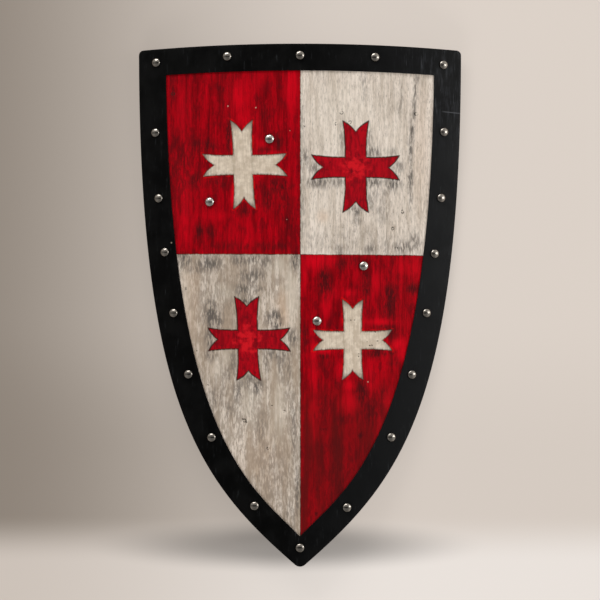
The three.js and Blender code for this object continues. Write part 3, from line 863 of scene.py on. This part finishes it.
for x, y, radius in SCARS:
    dent = calc(tree, "MULTIPLY", shaken_scar(x, y, radius)["Ring"], ramp(tree, crisp, 0.44, 0.52))
    paint = lay_over(tree, paint, dent, 0.9, (40, 34, 30))
for x, y, radius in SPECKS:
    speck = shaken_scar(x, y, radius * SPOT_TO_SCAR)["Middle"]
    paint = lay_over(tree, paint, speck, 0.85, (46, 38, 32))
for x, y, radius in CHIPS:
    chip = use(tree, scar, Place=place, X=x, Y=y, Radius=radius * SPOT_TO_SCAR)["Middle"]
    paint = lay_over(tree, paint, chip, 0.8, (196, 160, 140))
feed(tree, shader.inputs["Base Color"], paint)
feed(tree, shader.inputs["Roughness"], ramp(tree, strokes, 0.35, 0.65, 0.62, 0.48))
emboss(tree, shader, both(tree, hair, calc(tree, "MULTIPLY", fine, 0.5), 0.5), strength=0.35, depth=0.5)

# The back: dark stained wood with open pores.
stained, tree, shader = new_material("stained_wood", Specular_IOR_Level=0.3)
place = plan_place(tree)
rings = grain(tree, place, 11, 320, 21)
pores = grain(tree, place, 0.9, 34, 22)
patches = grain(tree, place, 60, 90, 23)
wood = layered(tree, rings, 0.36, 0.64, (62, 38, 24), (104, 68, 43), [
    (pores, 0.55, 0.70, 0.60, (34, 20, 13)),
    (patches, 0.50, 0.70, 0.40, (48, 31, 22)),
])
feed(tree, shader.inputs["Base Color"], wood)
feed(tree, shader.inputs["Roughness"], ramp(tree, pores, 0.40, 0.70, 0.50, 0.75))
emboss(tree, shader, calc(tree, "MULTIPLY", pores, -1.0), strength=0.4, depth=0.5)

# The cut edge: rough dark end grain.
plies, tree, shader = new_material("ply_edge", Specular_IOR_Level=0.3)
edge_grain = grain(tree, plan_place(tree), 2.0, 2.0, 24)
cut_wood = layered(tree, edge_grain, 0.4, 0.65, (38, 26, 19), (88, 60, 40))
feed(tree, shader.inputs["Base Color"], cut_wood)
feed(tree, shader.inputs["Roughness"], ramp(tree, edge_grain, 0.4, 0.7, 0.6, 0.85))

for material in (painted, stained, plies):
    board.data.materials.append(material)
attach(board, "root")
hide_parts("board")


# ---- Rim band -------------------------------------------------------------------------------------------
# One piece of 1.5 mm steel, blackened and satin: a flange about 40 mm wide over the painted face and a lip
# turned down the board's edge. It is cut to the heater shape, bent with the board and held by twenty rivets.
BAND_CURVE = [(0, 43.3), (65, 112.1), (194.1, 179), (194.1, 750)]
BAND_TOP_WIDTH = 38.6
OPENING_ROUND = 1.5
LIP_DEPTH = 7
TURN_ROUND = 1.3
TURN_STEPS = 5
INNER_CHAMFER = 0.35
FLANGE_STRIPS = 8


def skin(name, loops, closed):
    """A skin through loops of equal count: a circle set to the first loop, and each next one extruded from it.
    A closed skin joins its last loop to its first, and an open one has a flat face at both ends."""
    bpy.ops.object.select_all(action="DESELECT")
    fill = "NOTHING" if closed else "NGON"
    bpy.ops.mesh.primitive_circle_add(vertices=len(loops[0]), fill_type=fill)
    piece = bpy.context.object
    piece.name = name
    edit(piece)
    bpy.ops.mesh.select_all(action="SELECT")
    mesh = bmesh.from_edit_mesh(piece.data)
    around = mesh.verts.layers.int.new("around")
    for i, vertex in enumerate(mesh.verts):
        vertex[around] = i
        vertex.co = loops[0][i]
    for loop in loops[1:]:
        if closed:
            bpy.ops.mesh.extrude_edges_move()
        else:
            bpy.ops.mesh.extrude_region_move()
        mesh = bmesh.from_edit_mesh(piece.data)
        around = mesh.verts.layers.int["around"]
        for vertex in mesh.verts:
            if vertex.select:
                vertex.co = loop[vertex[around]]
        bmesh.update_edit_mesh(piece.data)
    if closed:
        pick(piece, lambda edge, middle: edge.is_boundary, "edges")
        bpy.ops.mesh.bridge_edge_loops()
    bpy.ops.mesh.select_all(action="SELECT")
    bpy.ops.mesh.remove_doubles(threshold=0.0001)
    bpy.ops.mesh.normals_make_consistent(inside=False)
    finish_edit()
    piece.data.attributes.remove(piece.data.attributes["around"])
    return piece


def at_height(outline, h):
    """The outline at a height above the face."""
    return [(x, y, h) for x, y in outline]


def between(first, second, strips):
    """The loops that divide the skin from one loop to another into even strips."""
    steps = [i / strips for i in range(1, strips)]
    return [[tuple(Vector(a).lerp(Vector(b), part)) for a, b in zip(first, second)] for part in steps]


opening = heater_outline(BAND_CURVE, HEIGHT - BAND_TOP_WIDTH, OPENING_ROUND, OPENING_ROUND)
flange_top = GAP + STEEL_THICKNESS
bend = []
for i in range(TURN_STEPS + 1):
    angle = math.pi / 2 * i / TURN_STEPS
    bend.append(at_height(
        inset(band_outline, TURN_ROUND * (1 - math.cos(angle))),
        flange_top - TURN_ROUND * (1 - math.sin(angle)),
    ))
inner_lip = inset(band_outline, STEEL_THICKNESS)
inner_edge = at_height(inset(opening, -INNER_CHAMFER), flange_top)
under_edge = at_height(opening, GAP)
under_bend = at_height(inner_lip, GAP)
band = skin("steel_band", [
    at_height(band_outline, -LIP_DEPTH), *bend,
    *between(bend[-1], inner_edge, FLANGE_STRIPS), inner_edge,
    at_height(opening, flange_top - INNER_CHAMFER), under_edge,
    *between(under_edge, under_bend, FLANGE_STRIPS), under_bend,
    at_height(inner_lip, -LIP_DEPTH),
], closed=True)
lay_on_face(band)
bpy.ops.object.shade_smooth_by_angle(angle=math.radians(35))

BAND_CHIP_X, BAND_CHIP_Y, BAND_CHIP_RADIUS = -186, 465, 2.6
SCRATCH_X, SCRATCH_Y, SCRATCH_SLOPE = 205, 655.5, -0.07

blackened, tree, shader = new_material("blackened_steel", Specular_IOR_Level=0.08)
place = plan_place(tree)
xyz = parts_of(tree, place)
bloom = grain(tree, place, 30, 36, 31)
rub = grain(tree, place, 5, 30, 32)
scratch = grain(tree, place, 1.4, 22, 33)
fleck = grain(tree, place, 2.6, 2.6, 34)
cloudy = grain(tree, place, 9, 24, 35)
black = layered(tree, bloom, 0.38, 0.66, (3, 3, 3), (8, 8, 8))

# painted sheen: lighter down the right side where the curve turns to the light, less near the top, and rubbed
# most at the top right corner
painted_sheen = calc(tree, "MULTIPLY", ramp(tree, xyz["X"], -60, 190), ramp(tree, xyz["Y"], 740, 480, 0.45, 1.0))
black = mix(tree, painted_sheen, black, colour(20, 21, 22))
top_right = calc(tree, "MULTIPLY", ramp(tree, xyz["X"], 120, 215), ramp(tree, xyz["Y"], 560, 690))
rubbed = calc(tree, "MULTIPLY", ramp(tree, scratch, 0.58, 0.72), ramp(tree, rub, 0.45, 0.62))
black = lay_over(tree, black, rubbed, calc(tree, "MULTIPLY_ADD", top_right, 0.6, 0.22), (92, 96, 100))
faded = calc(tree, "MULTIPLY", top_right, ramp(tree, calc(tree, "ADD", cloudy, scratch), 0.94, 1.16))
black = lay_over(tree, black, faded, 0.32, (58, 60, 64))

# one long scratch, one chip, and fine flecks all over
along = calc(tree, "SUBTRACT", xyz["X"], SCRATCH_X)
aside = calc(tree, "SUBTRACT", xyz["Y"], calc(tree, "MULTIPLY_ADD", along, SCRATCH_SLOPE, SCRATCH_Y))
scored = ramp(tree, calc(tree, "ABSOLUTE", aside), 1.1, 0.2)
scored = calc(tree, "MULTIPLY", scored, ramp(tree, along, -1.0, 6.0))
black = lay_over(tree, black, scored, 0.5, (96, 98, 102))
chip = use(tree, scar, Place=place, X=BAND_CHIP_X, Y=BAND_CHIP_Y, Radius=BAND_CHIP_RADIUS)["Middle"]
black = lay_over(tree, black, chip, 0.8, (150, 138, 122))
black = lay_over(tree, black, ramp(tree, fleck, 0.72, 0.78), 0.5, (70, 66, 60))
feed(tree, shader.inputs["Base Color"], black)
feed(tree, shader.inputs["Roughness"], ramp(tree, both(tree, rub, bloom, 0.5), 0.55, 0.95, 0.40, 0.54))
emboss(tree, shader, both(tree, scratch, bloom, 0.3), strength=0.12, depth=0.4)
band.data.materials.append(blackened)
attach(band, "root")
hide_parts("rim_band")


# ---- Rivets ---------------------------------------------------------------------------------------------
# Polished steel with turned dome heads. Each is driven through its hole from the front and hammered flat over
# the back. The four that hold the straps are a little larger and brighter than the rim's.
RIM_RIVET = dict(
    dullness=1.0, head=6.5, dome=3.9, shank=2.4, tail=4.2, tail_thickness=1.5, head_seat=2.1, tail_seat=-9.8
)
STRAP_RIVET = dict(
    dullness=0.0, head=6.8, dome=4.2, shank=2.4, tail=5.5, tail_thickness=1.8, head_seat=0.3, tail_seat=-13.7
)
HEAD_EDGE = 0.4  # the height of the head's upright edge, from which its dome starts
HEAD_ROUND = 0.15
RIVET_SIDES = 32
DOME_RINGS = 9
TAIL_PROFILE = ((0.45, 0), (0.72, 0.12), (0.92, 0.5), (1, 0.9))  # share of its radius, height over its end
TAIL_TAPER = 0.97
PEEN_UNEVEN = 0.22
PEEN_SCALE = 0.7
TAIL_RIM = 0.85  # the tails take the painted shade and grime of this place on a head, near its rim


def ring(radius, h):
    angles = [2 * math.pi * i / RIVET_SIDES for i in range(RIVET_SIDES)]
    return [(radius * math.cos(a), radius * math.sin(a), h) for a in angles]


def turned_rivet(name, dullness, head, dome, shank, tail, tail_thickness, head_seat, tail_seat):
    """A rivet that stands upright through the face. Seats are the heights that its head and tail rest at."""
    low = tail_seat - tail_thickness
    rings = [ring(tail * share, low + up) for share, up in TAIL_PROFILE]
    rings += [ring(tail * TAIL_TAPER, tail_seat), ring(shank, tail_seat), ring(shank, head_seat)]
    rings += [ring(head - HEAD_ROUND, head_seat), ring(head, head_seat + HEAD_ROUND)]
    for i in range(DOME_RINGS):
        angle = math.pi / 2 * i / DOME_RINGS
        rise = (dome - HEAD_EDGE) * math.sin(angle)
        rings.append(ring(head * math.cos(angle), head_seat + HEAD_EDGE + rise))
    rivet = skin(name, rings, closed=False)

    # the flat left on the dome is drawn to one point at its top
    edit(rivet)
    pick(rivet, lambda face, middle: len(face.verts) == RIVET_SIDES and middle.z > head_seat)
    bpy.ops.mesh.extrude_region_move()
    bpy.ops.mesh.merge(type="CENTER")
    pick(rivet, lambda vertex, middle: middle.xy.length < NEARLY and middle.z > head_seat, "verts")
    lift = head_seat + dome - max(v.co.z for v in rivet.data.vertices)
    bpy.ops.transform.translate(value=(0, 0, lift))
    finish_edit()

    for vertex in rivet.data.vertices:
        if vertex.co.z < tail_seat - NEARLY:
            blow = noise.noise(vertex.co * PEEN_SCALE + Vector((tail, 0, 3)))
            vertex.co.xy *= 1 + blow * PEEN_UNEVEN / 2
            vertex.co.z += blow * PEEN_UNEVEN
    # how near a head's rim a place is, for the painted shade and grime there
    rim = rivet.data.attributes.new("rim", "FLOAT", "POINT")
    dull = rivet.data.attributes.new("dull", "FLOAT", "POINT")
    for vertex, rim_item, dull_item in zip(rivet.data.vertices, rim.data, dull.data):
        on_head = vertex.co.z > head_seat - NEARLY
        rim_item.value = min(1.0, vertex.co.xy.length / head) if on_head else TAIL_RIM
        dull_item.value = dullness
    return rivet


polished, tree, shader = new_material("polished_steel", Metallic=1.0)
place = plan_place(tree)
haze = grain(tree, place, 3.0, 3.0, 41)
nick = grain(tree, place, 0.7, 4.0, 42)
steel = layered(tree, haze, 0.35, 0.7, (206, 202, 196), (176, 170, 162), [
    (attribute(tree, "dull"), 0.0, 1.0, 0.75, (128, 122, 114)),
    # painted shade and grime: darker round each head's rim, where it meets the surface under it
    (attribute(tree, "rim"), 0.86, 1.0, 0.75, (58, 52, 46)),
])
feed(tree, shader.inputs["Base Color"], steel)
feed(tree, shader.inputs["Roughness"], ramp(tree, both(tree, nick, haze, 0.4), 0.5, 0.95, 0.13, 0.30))

for named, numbers in (("rim_rivet", RIM_RIVET), ("strap_rivet", STRAP_RIVET)):
    pattern = turned_rivet("rivet_pattern", **numbers)
    pole = FACE_RADIUS + numbers["head_seat"] + numbers["dome"]
    for node in sorted(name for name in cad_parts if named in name):
        top = stand.inverted() @ dome_top(node) / MM
        angle = math.asin(top.x / pole)
        sideways = FACE_RADIUS * math.sin(angle)
        down = FACE_RADIUS * (math.cos(angle) - 1)
        seat = Matrix.Translation(Vector((sideways, top.y, down)) * MM) @ Matrix.Rotation(angle, 4, "Y")
        rivet = bpy.data.objects.new("fine_" + node, pattern.data.copy())
        bpy.context.scene.collection.objects.link(rivet)
        rivet.data.transform(stand @ seat @ Matrix.Scale(MM, 4))
        select_only(rivet)
        bpy.ops.object.shade_smooth_by_angle(angle=math.radians(50))
        rivet.data.materials.append(polished)
        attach(rivet, "root")
        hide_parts(node)
    bpy.data.objects.remove(pattern)


# ---- Arm straps -----------------------------------------------------------------------------------------
# Two strips of thick brown leather behind the board, one for the hand and one for the forearm. Each lies flat
# under a rivet at both ends and bows out between them, with a creased line along its edges.
STRAPS = {
    "hand_strap": dict(ends=((-43.7, 613.1), (-133.4, 523.4)), bow=30),
    "forearm_strap": dict(ends=((94.8, 431), (24.4, 352)), bow=25),
}
STRAP_WIDTH, STRAP_THICKNESS = 38, 3.5
STRAP_TAB = 20  # how far a strap runs past its rivet
STRAP_FLAT = 13  # how far from the rivet it lies flat before it bows out
STRAP_CORNER = 9
STRAP_GAP = 0.4
STRAP_END = 0.5
CREASE_IN, CREASE_DEPTH, CREASE_WIDTH = 3.6, 0.55, 0.55
EDGE_SOFT, EDGE_RUBBED = 0.9, 1.6
SLOPE_STEP = 0.5
LENGTH_CUTS, WIDTH_CUTS = 110, 56

leather, tree, shader = new_material("waxed_leather", Specular_IOR_Level=0.4)
place = plan_place(tree)
pebble = add(tree, "ShaderNodeTexVoronoi", feature="SMOOTH_F1")
feed(tree, pebble.inputs["Vector"], place)
feed(tree, pebble.inputs["Scale"], 0.75)
feed(tree, pebble.inputs["Randomness"], 0.9)
mottle = grain(tree, place, 18, 18, 51)
pull = grain(tree, place, 4, 4, 52)
hide = layered(tree, mottle, 0.36, 0.66, (74, 45, 28), (112, 72, 44), [
    (pull, 0.52, 0.70, 0.40, (52, 31, 20)),
])
hide = lay_over(tree, hide, attribute(tree, "edge"), 0.7, (134, 96, 64))
hide = lay_over(tree, hide, attribute(tree, "crease"), 0.8, (34, 20, 13))
feed(tree, shader.inputs["Base Color"], hide)
feed(tree, shader.inputs["Roughness"], ramp(tree, mottle, 0.35, 0.7, 0.42, 0.62))
emboss(tree, shader, both(tree, pull, pebble.outputs["Distance"], 0.6), strength=0.35, depth=0.4)


def bow_at(reach, length, bow):
    """How far a strap stands off at a distance from its first rivet. It is flat near both."""
    part = min(max((reach - STRAP_FLAT) / (length - 2 * STRAP_FLAT), 0), 1)
    return bow * (1 - math.cos(2 * math.pi * part)) / 2


for node, numbers in STRAPS.items():
    start, finish = (Vector(end) for end in numbers["ends"])
    bow = numbers["bow"]
    length = (finish - start).length
    along = (finish - start).normalized()
    across = Vector((-along.y, along.x))
    whole = length + 2 * STRAP_TAB
    bpy.ops.object.select_all(action="DESELECT")
    bpy.ops.mesh.primitive_grid_add(x_subdivisions=LENGTH_CUTS, y_subdivisions=WIDTH_CUTS, size=1)
    strap = bpy.context.object
    strap.name = "leather_" + node
    strap.scale = (whole, STRAP_WIDTH, 1)
    bpy.ops.object.transform_apply(scale=True)
    apply_modifier(strap, "SOLIDIFY", thickness=STRAP_THICKNESS, offset=-1)
    edge_layer = strap.data.attributes.new("edge", "FLOAT", "POINT")
    crease_layer = strap.data.attributes.new("crease", "FLOAT", "POINT")
    for vertex, edge_item, crease_item in zip(strap.data.vertices, edge_layer.data, crease_layer.data):
        x, y, z = vertex.co
        reach = x + length / 2
        rise = bow_at(reach + SLOPE_STEP, length, bow) - bow_at(reach - SLOPE_STEP, length, bow)
        slope = rise / (2 * SLOPE_STEP)
        lean = math.hypot(1, slope)
        from_end = whole / 2 - abs(x)
        cut = min(max(STRAP_CORNER - from_end, 0), STRAP_CORNER)
        half_width = STRAP_WIDTH / 2 - STRAP_CORNER + math.sqrt(STRAP_CORNER**2 - cut**2)
        half_width = max(half_width, STRAP_END)
        share = y / (STRAP_WIDTH / 2)
        from_side = min(half_width * (1 - abs(share)), from_end)
        outer = z < -STRAP_THICKNESS / 2
        soften = EDGE_SOFT * max(0, 1 - from_side / EDGE_SOFT) ** 2
        groove = math.exp(-(((from_side - CREASE_IN) / CREASE_WIDTH) ** 2))
        depth = STRAP_THICKNESS - soften - CREASE_DEPTH * groove if outer else soften
        centre = start + along * (reach - depth * slope / lean) + across * share * half_width
        off_board = STRAP_GAP + bow_at(reach, length, bow) + depth / lean
        vertex.co = (centre.x, centre.y, -BOARD_THICKNESS - off_board)
        edge_item.value = max(0, 1 - from_side / EDGE_RUBBED)
        crease_item.value = groove if outer else 0
    edit(strap)
    bpy.ops.mesh.select_all(action="SELECT")
    bpy.ops.mesh.normals_make_consistent(inside=False)
    finish_edit()
    lay_on_face(strap)
    bpy.ops.object.shade_smooth_by_angle(angle=math.radians(60))
    strap.data.materials.append(leather)
    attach(strap, "root")
    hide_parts(node)
